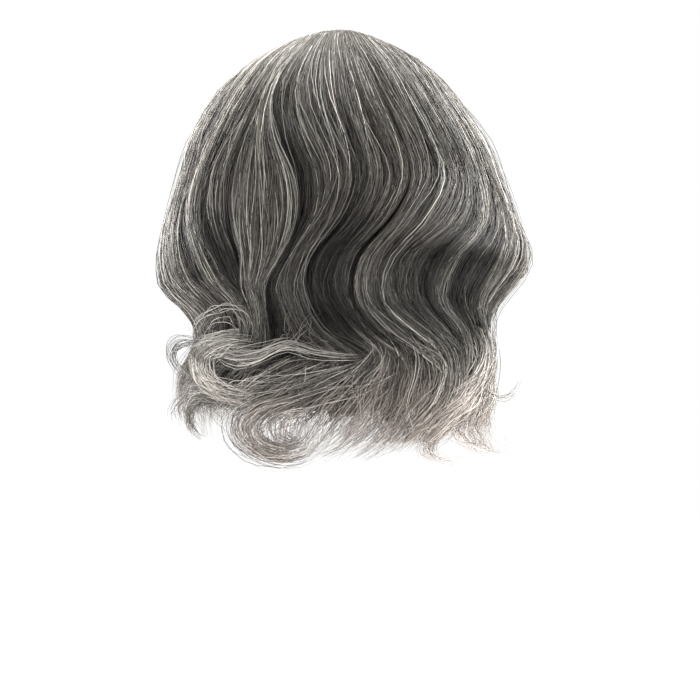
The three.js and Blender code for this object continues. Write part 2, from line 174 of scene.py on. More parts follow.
# Strands that hang inside a long lock, where they show below the cap
INNER_STRANDS = 26
INNER_CLUMPS = 6
INNER_POINTS = 10
INNER_SWAY_PACE = 1.4
INNER_LIFT_PACE = 1.7

# Walls of under-hair inside the long locks and over the crown
LOCK_CORE_COLUMNS = 11
LOCK_CORE_ROWS = 34
LOCK_CORE_OVERLAP = 0.02  # past each edge of the lock, as a share of its width
LOCK_CORE_START = 0.9
LOCK_CORE_DEPTH = 3.3  # below the lock's surface
CROWN_CORE_COLUMNS = 5  # for each lock
CROWN_CORE_ROWS = 14
CROWN_CORE_FIRST_ROW = 0.01
CROWN_CORE_END = 1
CROWN_CORE_DEPTH = 5.5

# The hem layer under the long locks. edge is a lock's left edge at each of HEM_DROPS, strands how many
# it has, end where most of them end and core where the under-hair ends.
HEM_DROPS = np.array((184, 214, 245, 280), dtype=float)
HEM_COLUMNS = ("strands", "end", "core", "edge")
HEM_ROWS = (
    (125, 264, 249, (-122, -124, -131, -138)),
    (125, 264, 249, (-97, -101, -109, -118)),
    (125, 256, 242, (-73, -79, -88, -98)),
    (110, 250, 239, (-50, -58, -69, -80)),
    (60, 264, 254, (-30, -39, -50, -60)),
    (50, 272, 263, (-12, -21, -32, -41)),
    (50, 274, 271, (6, -2, -12, -20)),
    (50, 272, 270, (24, 18, 9, 1)),
    (50, 264, 263, (44, 41, 33, 23)),
    (140, 266, 252, (64, 65, 60, 50)),
    (140, 266, 251, (87, 90, 89, 82)),
    (125, 266, 251, (108, 112, 114, 114)),
)
LAST_HEM_EDGE = (124, 128, 133, 138)
HEM_LOCKS = [dict(zip(HEM_COLUMNS, row)) for row in HEM_ROWS] + [dict(edge=LAST_HEM_EDGE)]
HEM_POINTS = 17
HEM_CLUMPS = 7
HEM_CLUMP_TIPS = 12  # how far clumps end above or below the others
HEM_INSET = 9  # how far the hem layer lies below the outer form
HEM_TUCK = 9  # and how much further where it is under the long locks
HEM_CURL_OUT = 0.5
HEM_CURL_LIFT = 0.7
# how deep the hem strands look to the painted depth shade: HEM_SHADE_DEPTH, and HEM_SHADE_SHARE of how far
# they lie below
HEM_SHADE_DEPTH = 4
HEM_SHADE_SHARE = 0.5
HEM_CORE_COLUMNS = 12
HEM_CORE_ROWS = 12
HEM_CORE_START = 198
HEM_CORE_RAGGED = 7
HEM_CORE_DEPTH = 6  # of the wall's outside below HEM_INSET, and HEM_CORE_BACK of its inside
HEM_CORE_BACK = 7

# Curls of the hem as seen from behind. A curl runs between two edges, each a few places given as a
# distance to the right of the middle and a drop. lift is how far the curl stands off the outer form,
# core how much of its width is filled below the strands, pale the share of pale strands, glow how
# bright those are and fade how much paler the tips grow. Strands start over the share gathers of the
# curl, end beyond the share shortest, stray by loose and fan out at the tip by fan.
CURL_DEFAULTS = dict(core=0.0, glow=1.6, gathers=0.12, shortest=0.8, fan=0.0, loose=1.0)
CURLS = [
    dict(node="left_curl", lift=4, strands=46, pale=0.85, glow=2.3, fade=0.7, gathers=0.55, shortest=0.6,
         fan=2.5, loose=0.6,
         upper=((44, 220), (30, 224), (8, 227), (-15, 224), (-36, 218), (-55, 225), (-68, 226), (-78, 222),
                (-86, 214), (-85, 206), (-78, 202)),
         lower=((44, 223), (30, 227), (8, 230), (-15, 228), (-36, 224), (-57, 233), (-74, 234), (-89, 227),
                (-98, 215), (-99, 206), (-92, 197))),
    dict(node="left_curl", lift=4, strands=14, pale=0.7, fade=0.5,
         upper=((-86, 226), (-92, 214), (-88, 206), (-79, 203), (-71, 206), (-67, 213), (-66, 222)),
         lower=((-92, 228), (-99, 213), (-92, 201), (-78, 196), (-66, 200), (-61, 210), (-61, 224))),
    dict(node="left_curl", lift=4, strands=11, pale=0.45, fade=0.5,
         upper=((-46, 226), (-37, 220), (-30, 208), (-25, 196)),
         lower=((-36, 228), (-26, 222), (-12, 214), (2, 208))),
    dict(node="left_curl", lift=5, strands=130, pale=0.85, glow=2.4, fade=0.6, gathers=0.3, fan=0.6,
         upper=((-45, 216), (-58, 214), (-76, 213), (-92, 217), (-101, 228), (-99, 241), (-91, 251),
                (-76, 258), (-60, 260)),
         lower=((-40, 226), (-52, 226), (-67, 224), (-80, 226), (-89, 232), (-89, 241), (-81, 247),
                (-68, 251), (-55, 251))),
    dict(node="hem_lock_4", lift=1, core=0.9, strands=200, pale=0.35, fade=0.4, gathers=0.3,
         upper=((-12, 222), (-28, 228), (-44, 235), (-58, 243), (-72, 252), (-82, 261), (-88, 268)),
         lower=((44, 224), (26, 236), (6, 246), (-17, 255), (-39, 266), (-55, 276), (-63, 284))),
    dict(node="nape_loop", lift=4, strands=120, pale=0.35, fade=0.6,
         upper=((-14, 241), (-39, 251), (-63, 259), (-73, 272), (-70, 286), (-57, 296), (-39, 301),
                (-22, 298), (-13, 290), (-11, 281)),
         lower=((0, 246), (-25, 258), (-45, 265), (-54, 274), (-52, 283), (-42, 288), (-32, 288),
                (-25, 283), (-22, 277), (-24, 270))),
    dict(node="nape_loop", lift=2, strands=60, pale=0.3, fade=0.6,
         upper=((-21, 253), (-38, 264), (-48, 274), (-46, 284), (-36, 289), (-26, 285)),
         lower=((-6, 260), (-24, 268), (-34, 275), (-35, 281), (-31, 283), (-27, 279))),
    dict(node="hem_lock_6", lift=1, core=0.7, strands=150, pale=0.35, fade=0.7,
         upper=((2, 205), (14, 215), (22, 226), (6, 244), (-13, 262), (-23, 279), (-29, 291)),
         lower=((16, 200), (30, 213), (38, 230), (32, 252), (24, 271), (9, 287), (-9, 296))),
    dict(node="hem_lock_7", lift=-1, core=0.8, strands=110, pale=0.2, fade=0.65,
         upper=((14, 198), (28, 212), (36, 230), (31, 252), (24, 271), (10, 285), (-5, 295)),
         lower=((32, 196), (47, 210), (57, 228), (53, 249), (48, 268), (37, 285), (20, 298))),
    dict(node="hem_lock_8", lift=1, core=0.7, strands=110, pale=0.2, fade=0.55,
         upper=((50, 196), (68, 210), (79, 226), (79, 244), (73, 259), (56, 276), (40, 293)),
         lower=((28, 204), (45, 214), (58, 228), (64, 240), (60, 255), (45, 273), (28, 291))),
    dict(node="hem_lock_9", lift=0, core=0.4, strands=130, pale=0.5, glow=1.5, fade=0.7,
         upper=((104, 208), (107, 222), (104, 238), (95, 252), (80, 266), (62, 279), (48, 291)),
         lower=((90, 206), (97, 222), (92, 238), (82, 251), (68, 264), (52, 277), (41, 287))),
    dict(node="hem_lock_9", lift=0, core=0.3, strands=100, pale=0.45, fade=0.7,
         upper=((106, 218), (108, 236), (102, 255), (88, 269), (74, 280), (64, 290), (70, 298), (85, 300)),
         lower=((92, 218), (97, 236), (88, 253), (76, 266), (63, 277), (55, 287), (56, 295), (66, 300))),
    dict(node="hem_lock_8", lift=1, strands=80, pale=0.5, fade=0.7,
         upper=((104, 232), (106, 248), (104, 262), (102, 276), (108, 287), (120, 294)),
         lower=((94, 240), (91, 256), (83, 267), (78, 279), (85, 288), (102, 295))),
    dict(node="left_hook", lift=3, strands=60, pale=0.3, fade=0.2,
         upper=((-60, 254), (-74, 251), (-91, 248), (-103, 250), (-112, 258)),
         lower=((-60, 258), (-74, 256), (-91, 255), (-102, 259), (-110, 268))),
    dict(node="left_hook", lift=4, strands=60, pale=0.2, fade=0.15,
         upper=((-64, 262), (-78, 258), (-95, 256), (-104, 264), (-105, 274), (-101, 281), (-95, 285)),
         lower=((-64, 265), (-78, 262), (-92, 260), (-100, 266), (-101, 273), (-98, 279), (-94, 284))),
    dict(node="left_flick", lift=2, strands=24, pale=0.35, fade=0.2,
         upper=((-75, 228), (-87, 222), (-99, 217), (-112, 217), (-119, 224), (-118, 232), (-108, 242),
                (-94, 248)),
         lower=((-75, 231), (-87, 225), (-98, 220), (-110, 221), (-115, 226), (-114, 232), (-106, 240),
                (-92, 245))),
    dict(node="right_flick", lift=2, strands=10, pale=0.4, fade=0.3, loose=0.3,
         upper=((88, 246), (98, 251), (112, 257), (120, 253), (126, 244)),
         lower=((88, 248), (98, 253), (112, 259), (121, 255), (127, 246))),
]
LOOSE_CURL_NODES = ("left_curl", "nape_loop", "left_hook", "left_flick", "right_flick")

# Strands and bands of the curls. Reaches are shares of the way along a curl.
CURL_POINTS = 21
CURL_CLUMP_SIZE = 8
CURL_FEWEST_CLUMPS = 3
CURL_LONGEST = 1.05
CURL_END_REACHES = (0.4, 1.0)
CURL_SHARES = (-0.3, 1.3)  # how far past its edges a curl's strands may stray
CURL_TUCK = 14  # how far inside the outer form a curl starts
CURL_OVERHANG = 8  # how far a curl may stand out past the sides of the outer form
CURL_WRAP = 0.82  # beyond this share of the half width curls run straight on instead of round the side
CURL_CORE_ROWS = 30
CURL_CORE_COLUMNS = 6
CURL_CORE_REACHES = (0.02, 0.7)
CURL_CORE_TAPER = (0.02, 0.98)  # the stretch of a half wave that shapes a band's two ends
CURL_CORE_DEPTH = 4.0
CURL_CORE_WALL = 2.0

# Strand tones: the middle tone of dark and of pale hair, how far single strands and whole clumps stray
# from it, and the colours they tint
DARK_TONE = 0.048
PALE_TONE = 0.165
TONE_LIMITS = (0.012, 0.36)
STRAND_SPREAD = 0.5
CLUMP_SPREAD = 0.22
CLUMP_PALE_SPREAD = (0.5, 1.5)
MOST_PALE = 0.95
# GLINT and GLINT_LENGTHS set painted highlights that come and go along each strand
GLINT = 0.26
GLINT_LENGTHS = (7, 20)
# MIDDLE_SHADE is painted shade on the middle lengths, under the bulge of the hair
MIDDLE_SHADE = 0.22
# DEPTH_SHADE is painted shade on strands that lie deep in grooves and under others
DEPTH_SHADE = 0.88
TIP_FADE = (0.0, 1.2)
HAIR_TINT = np.array((1.0, 0.915, 0.79))
PALE_TINT = np.array((1.0, 0.935, 0.85))
TINT_SPREAD = (0.96, 1.04)
TIP_COLOUR = np.array((0.36, 0.305, 0.27))
RADIUS_SPREAD = (0.75, 1.2)

# Tubes and walls. A piece's map is shared out in bands, one for each set of strands or wall, and a band
# of strands in cells, one for each strand and so many to a row. Sizes on the map are shares of a cell
# or band.
TUBE_SIDES = 3
TUBE_ANGLES = np.radians((90, 210, 330))
OUTWARD_SCALE = np.array((1, 1, 0.6))  # tubes are turned away from about the middle of the head
OUTWARD_SHIFT = np.array((0, 0, 50))
TUBE_MAP = dict(row=70, cell=np.array((0.96, 0.97)), low=0.04, height=0.94)
TUBE_END_MAP = np.array(((0.05, 0.0), (0.45, 0.0), (0.25, 0.03)))
WALL_MAP = dict(width=0.94, low=0.01, height=0.96)
WALL_END_MAP = dict(left=0.95, width=0.04, lows=(0.05, 0.55), height=0.4)
WALL_MAP_WEIGHT = 40  # a wall's share of the map, in strands
# painted shade: WALL_INSIDE_SHADE darkens the inside of every wall, and WALL_EDGE_SHADE the first and last
# columns of its outside, which read as dark gaps
WALL_INSIDE_SHADE = 0.4
WALL_EDGE_SHADE = 0.3
WALL_SEEDS = 1000  # the range in which walls have places of their own in the noise

# Looks of the materials. Frequencies are for a millimetre, and pitches are in millimetres.
HAIR_IOR = 1.5
UNDER_TONES = ((0.38, 0.006), (0.45, 0.022), (0.50, 0.052), (0.55, 0.11), (0.62, 0.22))
MEANDER = 9.0  # how far fibres wander to the side, in millimetres
MEANDER_FREQUENCY = 0.03
FIBRE_FREQUENCY = 1.0
FIBRE_WEIGHT = 0.85
FIBRE_CLUMP_FREQUENCY = 0.22
FIBRE_CLUMP_WEIGHT = 0.15
ALONG_FREQUENCY = 0.012
NET_PITCH = 1.6
WEFT_PITCH = 9.0
WEFT_THRESHOLD = 0.8
STITCH_PITCH = 2.4
STITCH_HEIGHT = 1.5
NET_DARK = (0.006, 0.006, 0.006, 1)
NET_PALE = (0.055, 0.052, 0.048, 1)
BUMP_DISTANCE = 0.0006

# Stage, in metres and watts: a pale floor well below the wig, white surroundings, four soft lamps and
# a level camera behind the wig with a long lens
WHITE = (1, 1, 1, 1)
FLOOR_DROP = 0.47
FLOOR_SIZE = 6.0
FLOOR_COLOUR = (0.9, 0.9, 0.9, 1)
LAMP_TARGET = np.array((0, 0, -0.1))
LAMPS = (
    dict(name="top", place=(0.2, 0.2, 1.3), size=0.9, energy=41),
    dict(name="key", place=(-0.6, -1.5, 0.7), size=0.7, energy=12),
    dict(name="left_rim", place=(-1.2, 0.3, 0.5), size=0.7, energy=60),
    dict(name="right_rim", place=(1.1, 0.0, 0.9), size=0.7, energy=116),
)
CAMERA_DISTANCE = 2.6
CAMERA_RIGHT = 0.007
CAMERA_HEIGHT = -0.21
FRAME_WIDTH = 0.49
SENSOR_WIDTH = 36  # millimetres


def smooth_curve(xs, ys, x):
    """A smooth curve through the points (xs, ys) at every x, held flat outside them."""
    x = np.clip(x, xs[0], xs[-1])
    slopes = np.empty_like(ys)
    slopes[1:-1] = (ys[2:] - ys[:-2]) / (xs[2:] - xs[:-2])
    slopes[0] = (ys[1] - ys[0]) / (xs[1] - xs[0])
    slopes[-1] = (ys[-1] - ys[-2]) / (xs[-1] - xs[-2])
    i = np.clip(np.searchsorted(xs, x, side="right") - 1, 0, len(xs) - 2)
    span = xs[i + 1] - xs[i]
    t = (x - xs[i]) / span
    eased = t * t * (3 - 2 * t)
    bend = t * (1 - t) * span
    return ys[i] + (ys[i + 1] - ys[i]) * eased + bend * ((1 - t) * slopes[i] - t * slopes[i + 1])


def ramp(x, start, full):
    """0 before start, 1 from full on, and smooth between."""
    t = np.clip((x - start) / (full - start), 0, 1)
    return t * t * (3 - 2 * t)


def unit(vectors):
    """The vectors at length 1."""
    return vectors / np.maximum(np.linalg.norm(vectors, axis=-1, keepdims=True), 1e-9)


def lengths_to(points):
    """The length along a row of points up to each of them."""
    steps = np.linalg.norm(np.diff(points, axis=0), axis=-1)
    return np.concatenate([[0], np.cumsum(steps)])


def column(values):
    """One value for each strand, as a column."""
    return values[:, None]


def varied(x, clump, clumps, least, most, start, full):
    """An amount of its own for each clump of strands, which comes about along them."""
    amount = random.uniform(least, most, clumps)
    return column(amount[clump]) * ramp(x, start, full)


def clumped_shares(count, clumps, scatter):
    """A clump for each strand, and its place from 0 to 1 across the lock, scattered about its clump's."""
    clump = random.integers(0, clumps, count)
    middle = (np.arange(clumps) + random.uniform(0.1, 0.9, clumps)) / clumps
    return clump, middle[clump] + random.normal(0, scatter / clumps, count)


def clump_hands(clump, clumps):
    """Which way round each strand's clump curls: -1 or 1."""
    return column(np.where(random.uniform(0, 1, clumps) < 0.5, -1, 1)[clump])


def form_size(name, drop):
    """One column of FORM at every drop. Near the top its widths grow with the root of the drop."""
    return smooth_curve(np.sqrt(FORM["drop"]), FORM[name], np.sqrt(np.maximum(drop, 0)))


def half_sizes(across, backward, drop):
    """Half width and half depth of the outer form, on the side of the head that a place is on."""
    width = np.where(across < 0, form_size("left", drop), form_size("right", drop))
    depth = np.where(backward > 0, form_size("back", drop), form_size("front", drop))
    return width, depth


def form_point(azimuth, drop):
    """Points of the outer form, in millimetres."""
    across = np.sin(np.radians(azimuth))
    backward = np.cos(np.radians(azimuth))
    width, depth = half_sizes(across, backward, drop)
    return np.stack([width * across, -depth * backward, HAIR_ABOVE_CAP - drop], axis=-1)


def form_frame(azimuth, drop):
    """Outward and rightward directions of the outer form."""
    turn = 1.0
    fall = 0.5
    low = np.maximum(drop, 1.0)
    rightward = form_point(azimuth + turn, low) - form_point(azimuth - turn, low)
    down = form_point(azimuth, low + fall) - form_point(azimuth, low - fall)
    return unit(np.cross(down, rightward)), unit(rightward)


def hair_point(azimuth, drop, outward, rightward=0.0):
    """Points moved off the outer form by so many millimetres outward and rightward."""
    out, right = form_frame(azimuth, drop)
    shift = np.asarray(outward)[..., None] * out + np.asarray(rightward)[..., None] * right
    return form_point(azimuth, drop) + shift


def hair_wall(azimuth, drop, depth, inside, shade):
    """A wall of under-hair between two depths below the outer form."""
    return wall_arrays(hair_point(azimuth, drop, -depth), hair_point(azimuth, drop, -inside), shade)


def between_edges(places, row, next_row, share, at):
    """Azimuths a share of the way from a lock's left edge to the next lock's, so far down it."""
    left = smooth_curve(places, np.array(row["edge"], dtype=float), at)
    right = smooth_curve(places, np.array(next_row["edge"], dtype=float), at)
    return left + (right - left) * share


def drop_under(across, backward):
    """The drop at which the outer form passes through a place seen from above."""
    low = np.zeros_like(across)
    high = np.full_like(across, WHORL_DEEPEST_DROP)
    for _ in range(WHORL_HALVINGS):
        drop = (low + high) / 2
        width, depth = half_sizes(across, backward, drop)
        outside = (across / width) ** 2 + (backward / depth) ** 2 > 1
        low = np.where(outside, drop, low)
        high = np.where(outside, high, drop)
    return (low + high) / 2


def from_whorl(forward, azimuth, drop, level):
    """Azimuth and drop of crown rows once they fan out from the whorl instead of the highest point."""
    to_go = np.clip((WHORL_END_LEVEL - level) / (WHORL_END_LEVEL - LEVELS[0]), 0, 1)
    shift = WHORL_FORWARD * (1 - forward) ** 2 * to_go ** WHORL_EASE
    place = form_point(azimuth, drop)
    across = place[..., 0]
    backward = -place[..., 1] - shift
    moved_drop = drop_under(across, backward)
    width, depth = half_sizes(across, backward, moved_drop)
    moved_azimuth = np.degrees(np.arctan2(across / width, backward / depth))
    moved = (shift > 0.01) & (level < WHORL_END_LEVEL)
    return np.where(moved, moved_azimuth, azimuth), np.where(moved, moved_drop, drop)


def lock_path(row, next_row, share, level):
    """Azimuth and drop at each level of the rows of hair that lie a share of the way across a lock."""
    first = row["edge"][0] + (next_row["edge"][0] - row["edge"][0]) * share
    beyond = np.abs(first) - PARTING_START
    forward = np.clip(beyond / (PARTING_FRONT_AZIMUTH - PARTING_START), 0, 1)
    parting = np.where(first < 0, PARTING_AZIMUTH - 360, PARTING_AZIMUTH)
    turn = PARTING_TURN * np.clip(forward / PARTING_FULL_TURN, 0.001, 1)
    still_to_turn = np.clip(1 - (level - LEVELS[0]) / turn, 0, 1) ** PARTING_EASE
    azimuth = between_edges(LEVELS[1:], row, next_row, share, level)
    azimuth = azimuth + np.where(forward > 0, parting - first, 0) * still_to_turn
    drop = smooth_curve(LEVELS, LEVEL_DROPS, level)
    root_drop = PARTING_FRONT_DROP * forward ** PARTING_POWER
    drop = drop + root_drop * np.maximum(1 - drop / PARTING_SETTLED_DROP, 0)
    return from_whorl(forward, azimuth, drop, level)


def lock_depth(row, share, level):
    """How far below the outer form a lock's surface lies: its sunk lower stretch and its edges."""
    side = 2 * share - 1
    groove = np.where(side < 0, row["left"], row["right"]) * np.abs(side) ** GROOVE_POWER
    opened = ramp(level, start=0, full=3) * (1 - 0.65 * ramp(level, start=6.4, full=7.4))
    sunk = ramp(level, start=2.8, full=5.4) * (1 - 0.8 * ramp(level, start=6.3, full=7.8))
    return row["sink"] * sunk + groove * opened


def lock_thickness(drop):
    """How thick a long lock is, its under-hair included."""
    return form_size("thick", drop) + UNDER_HAIR


def strand_levels(tail, clump, clumps):
    """The levels of a long strand's points, from a root near the crown to a tip near the lock's tail."""
    count = len(clump)
    lowered = random.power(1.4, count) * random.uniform(0, 1, count)
    start = column(LEVELS[0] + ROOT_SPREAD * lowered)
    clump_tail = tail + random.normal(0, 0.3, clumps)[clump]
    end = column(np.clip(clump_tail + random.normal(0, 0.2, count), *TAIL_LEVELS))
    spread = np.interp(np.linspace(0, 1, STRAND_POINTS), STEP_SHARES, STEP_LEVELS)
    return start + (end - start) * (spread - STEP_LEVELS[0]) / (STEP_LEVELS[-1] - STEP_LEVELS[0])


def lock_strands(row, next_row):
    """Centre lines of a lock's strands in millimetres, their drops, depths and clumps."""
    count = row["strands"]
    each = np.arange(count)
    clumps = max(count // LONG_CLUMP_SIZE, LONG_FEWEST_CLUMPS)
    clump, share = clumped_shares(count, clumps, scatter=1.1)
    share = column(1 - np.abs(1 - np.abs(share)))
    level = strand_levels(row["tail"], clump, clumps)
    below = column(np.minimum(random.exponential(1.2, count), LONG_DEEPEST))
    on_face = np.zeros((count, 1), dtype=bool)
    if row["name"] in FACE_EDGES:
        on_face = column(random.uniform(0, 1, count)) < FACE_STRANDS
        share = np.where(on_face, FACE_EDGES[row["name"]], share)
        below = np.where(on_face, column(random.uniform(0, FACE_DEPTH, count)), below)
    azimuth, drop = lock_path(row, next_row, share, level)
    clump_below = varied(level, clump, clumps, least=0, most=3.5, start=0, full=3)
    depth = lock_depth(row, share, level) + clump_below + below

    clump_phase = column(random.uniform(0, FULL_TURN, clumps)[clump])
    clump_sway = varied(level, clump, clumps, least=0.5, most=2.2, start=-0.5, full=2)
    clump_lift = 0.8 * ramp(level, start=0, full=2)
    rightward = clump_sway * np.sin(clump_phase + CLUMP_SWAY_PACE * level)
    outward = clump_lift * np.sin(CLUMP_LIFT_PHASE * clump_phase + CLUMP_LIFT_PACE * level) - depth

    is_stray = random.uniform(0, 1, count) < 0.12
    sway = column(np.where(is_stray, 4.5, 1.5))
    lift = 0.5 * sway * ramp(level, start=-1, full=2)
    sway = sway * ramp(level, start=-1.5, full=1.5)
    phase = random.uniform(0, FULL_TURN, (2, count, 1))
    pace = random.uniform(0.8, 2.2, (2, count, 1))
    rightward = rightward + sway * np.sin(phase[0] + pace[0] * level)
    outward = outward + lift * np.sin(phase[1] + pace[1] * level)
    rightward = rightward * (1 - EDGE_CALM * (2 * share - 1) ** 4)

    is_loose = column(random.uniform(0, 1, count)) < 0.035
    aside = varied(level, each, count, least=-9, most=9, start=0, full=5)
    off = varied(level, each, count, least=0, most=4, start=0, full=4)
    rightward = rightward + np.where(is_loose, aside, 0)
    outward = outward + np.where(is_loose, LOOSE_RISE * depth + off, 0)

    curl = varied(level, clump, clumps, least=1.5, most=5, start=6.5, full=9)
    length = column(random.uniform(44, 70, clumps)[clump])
    hand = clump_hands(clump, clumps)
    start = clump_phase + column(random.normal(0, 0.35, count))
    spin = start + hand * FULL_TURN * drop / length
    rightward = rightward + curl * np.cos(spin)
    outward = outward + END_CURL_LIFT * curl * (1 + np.sin(spin))
    # strands on the edge to the face get less painted depth shade
    shaded_depth = np.where(on_face, FACE_SHADE * depth, depth)
    return hair_point(azimuth, drop, outward, rightward), drop, shaded_depth, clump


def inner_strands(row, next_row):
    """Centre lines of the strands inside a lock below the cap, their drops, depths and clumps."""
    clump = random.integers(0, INNER_CLUMPS, INNER_STRANDS)
    share = (clump + random.uniform(0, 1, INNER_STRANDS)) / INNER_CLUMPS
    share = column(np.clip(share, 0.03, 0.97))
    start = column(random.uniform(3.2, 4.2, INNER_STRANDS))
    end = column(random.uniform(7.8, 9.2, INNER_STRANDS))
    level = start + (end - start) * np.linspace(0, 1, INNER_POINTS)
    azimuth, drop = lock_path(row, next_row, share, level)
    phase = random.uniform(0, FULL_TURN, (2, INNER_STRANDS, 1))
    rightward = 2.5 * np.sin(phase[0] + INNER_SWAY_PACE * level)
    depth = lock_thickness(drop) + 1 + np.sin(phase[1] + INNER_LIFT_PACE * level)
    # the inner strands all get the painted shade of one fixed depth
    shaded_depth = np.full(drop.shape, 4.0)
    return hair_point(azimuth, drop, -depth, rightward), drop, shaded_depth, clump


def lock_core(row, next_row):
    """The wall of under-hair inside a long lock, which narrows inward at its lower end and is painted darker
    the deeper it lies.
    """
    share = np.linspace(-LOCK_CORE_OVERLAP, 1 + LOCK_CORE_OVERLAP, LOCK_CORE_COLUMNS)[None, :]
    end = random.uniform(7.2, 7.9, LOCK_CORE_COLUMNS)[None, :]
    along = column(np.linspace(0, 1, LOCK_CORE_ROWS))
    level = LOCK_CORE_START + (end - LOCK_CORE_START) * along
    azimuth, drop = lock_path(row, next_row, share, level)
    sunk = 0.7 * ramp(level, start=1, full=3)
    tucked = 5 * ramp(level, start=6.6, full=7.8)
    thinned = 9 * ramp(level, start=6.5, full=7.6)
    depth = lock_depth(row, share, level) + LOCK_CORE_DEPTH + sunk + tucked
    inside = np.maximum(lock_thickness(drop) - thinned, depth + 1)
    # painted shade: the deeper the wall lies, the darker it is painted
    return hair_wall(azimuth, drop, depth, inside, 1 - 0.85 * ramp(depth, start=3, full=12))


def crown_core():
    """The wall of under-hair over the crown, from the parting to where the locks begin."""
    along = np.linspace(CROWN_CORE_FIRST_ROW, 1, CROWN_CORE_ROWS) ** 2
    level = column(LEVELS[0] + (CROWN_CORE_END - LEVELS[0]) * along)
    share = np.linspace(0, 1, CROWN_CORE_COLUMNS)[None, :]
    paths = [lock_path(row, next_row, share, level) for row, next_row in zip(LOCKS, LOCKS[1:])]
    azimuth, drop = np.concatenate(paths, axis=2)
    depth = CROWN_CORE_DEPTH - 2.5 * ramp(level, start=-1, full=-0.6)
    return hair_wall(azimuth, drop, depth, form_size("thick", drop), np.ones(drop.shape))


def hem_strands(row, next_row):
    """Centre lines of a hem lock's strands, which come out from under the long locks and curl."""
    count = row["strands"]
    clump = random.integers(0, HEM_CLUMPS, count)
    share = column((clump + 0.5) / HEM_CLUMPS + random.normal(0, 0.1, count))
    root = column(random.uniform(194, 212, count))
    clump_tip = row["end"] + random.uniform(-HEM_CLUMP_TIPS, HEM_CLUMP_TIPS, HEM_CLUMPS)[clump]
    tip = column(clump_tip + random.normal(0, 5, count))
    drop = root + (tip - root) * np.linspace(0, 1, HEM_POINTS)
    azimuth = between_edges(HEM_DROPS, row, next_row, share, drop)
    below = column(random.uniform(0, 9, count))

    clump_phase = random.uniform(0, FULL_TURN, HEM_CLUMPS)[clump]
    phase = column(clump_phase + random.normal(0, 0.4, count))
    length = column(random.uniform(38, 60, HEM_CLUMPS)[clump])
    hand = clump_hands(clump, HEM_CLUMPS)
    curl = varied(drop, clump, HEM_CLUMPS, least=5, most=11, start=210, full=265)
    spin = phase + hand * FULL_TURN * drop / length
    flick = varied(drop, clump, HEM_CLUMPS, least=0, most=9, start=235, full=275)
    depth = HEM_INSET + HEM_TUCK - HEM_TUCK * ramp(drop, start=190, full=222)
    outward = curl * (HEM_CURL_OUT + HEM_CURL_LIFT * np.sin(spin)) + flick - depth - below
    # painted depth shade of the hem strands
    shaded_depth = HEM_SHADE_SHARE * below + HEM_SHADE_DEPTH
    return hair_point(azimuth, drop, outward, curl * np.cos(spin)), drop, shaded_depth, clump


def hem_core(row, next_row):
    """The wall of under-hair inside a hem lock, with a ragged lower edge."""
    share = np.linspace(0, 1, HEM_CORE_COLUMNS)[None, :]
    end = row["core"] + random.uniform(-HEM_CORE_RAGGED, HEM_CORE_RAGGED, HEM_CORE_COLUMNS)[None, :]
    drop = HEM_CORE_START + (end - HEM_CORE_START) * column(np.linspace(0, 1, HEM_CORE_ROWS))
    azimuth = between_edges(HEM_DROPS, row, next_row, share, drop)
    depth = HEM_INSET + HEM_CORE_DEPTH - 3 * ramp(drop, start=200, full=218)
    inside = HEM_INSET + HEM_CORE_BACK - 3 * ramp(drop, start=225, full=255)
    # painted shade: dark at the top, under the long locks, and lighter towards the lower edge
    return hair_wall(azimuth, drop, depth, inside, 0.08 + 1.05 * ramp(drop, start=208, full=252))


def curl_surface(row, share, reach, outward):
    """Points of a curl, a share of the way between its edges and so far along it, and their drops."""
    upper = np.array(row["upper"], dtype=float)
    lower = np.array(row["lower"], dtype=float)
    lengths = lengths_to((upper + lower) / 2)
    at = reach * lengths[-1]
    across, drop = (
        smooth_curve(lengths, upper[:, i], at) * (1 - share) + smooth_curve(lengths, lower[:, i], at) * share
        for i in range(2)
    )
    width, depth = half_sizes(across, 1, drop)
    aside = np.abs(across) / (width + CURL_OVERHANG)
    wrapped = np.minimum(aside, CURL_WRAP)
    straight_on = (aside - wrapped) * CURL_WRAP / math.sqrt(1 - CURL_WRAP ** 2)
    round_back = np.sqrt(1 - wrapped ** 2) - straight_on
    lifted = row["lift"] * ramp(reach, start=0.05, full=0.5)
    tucked = CURL_TUCK - CURL_TUCK * ramp(reach, start=0, full=0.3)
    backward = depth * round_back + lifted - tucked + outward
    return np.stack([across, -backward, HAIR_ABOVE_CAP - drop], axis=-1), drop


def curl_strands(row):
    """Centre lines of a curl's strands, their drops, depths and clumps."""
    count = row["strands"]
    clumps = max(count // CURL_CLUMP_SIZE, CURL_FEWEST_CLUMPS)
    clump, share = clumped_shares(count, clumps, scatter=1.6)
    start = column(random.uniform(0, row["gathers"], count))
    clump_end = random.uniform(row["shortest"], CURL_LONGEST, clumps)[clump]
    end = column(np.clip(clump_end + random.normal(0, 0.05, count), *CURL_END_REACHES))
    reach = start + (end - start) * np.linspace(0, 1, CURL_POINTS)
    phase = random.uniform(0, FULL_TURN, (3, count, 1))
    pace = random.uniform(3, 8, (3, count, 1))
    is_stray = random.uniform(0, 1, count) < 0.4
    sway = row["loose"] * column(np.where(is_stray, 3.2, 1.3))
    drift = column(random.normal(0, 0.09, count)) * sway * np.sin(phase[0] + pace[0] * reach)
    below = column(random.uniform(0, 5, count))
    outward = 0.8 * sway * np.sin(phase[1] + pace[1] * reach) - below
    share = np.clip(column(share) + drift, *CURL_SHARES)
    lines, drop = curl_surface(row, share, reach, outward)
    freed = sway * (ramp(reach, start=0, full=0.5) + row["fan"] * ramp(reach, start=0.5, full=1))
    wiry_pace = random.uniform(8, 26, (2, count, 1))
    slow = 0.6 * np.sin(phase[2] + pace[2] * reach)
    wiry_up, wiry_aside = (0.5 * np.sin(phase[i] + wiry_pace[i] * reach) for i in range(2))
    lines[..., 2] += freed * (slow + wiry_up)
    lines[..., 0] += freed * wiry_aside
    return lines, drop, below, clump


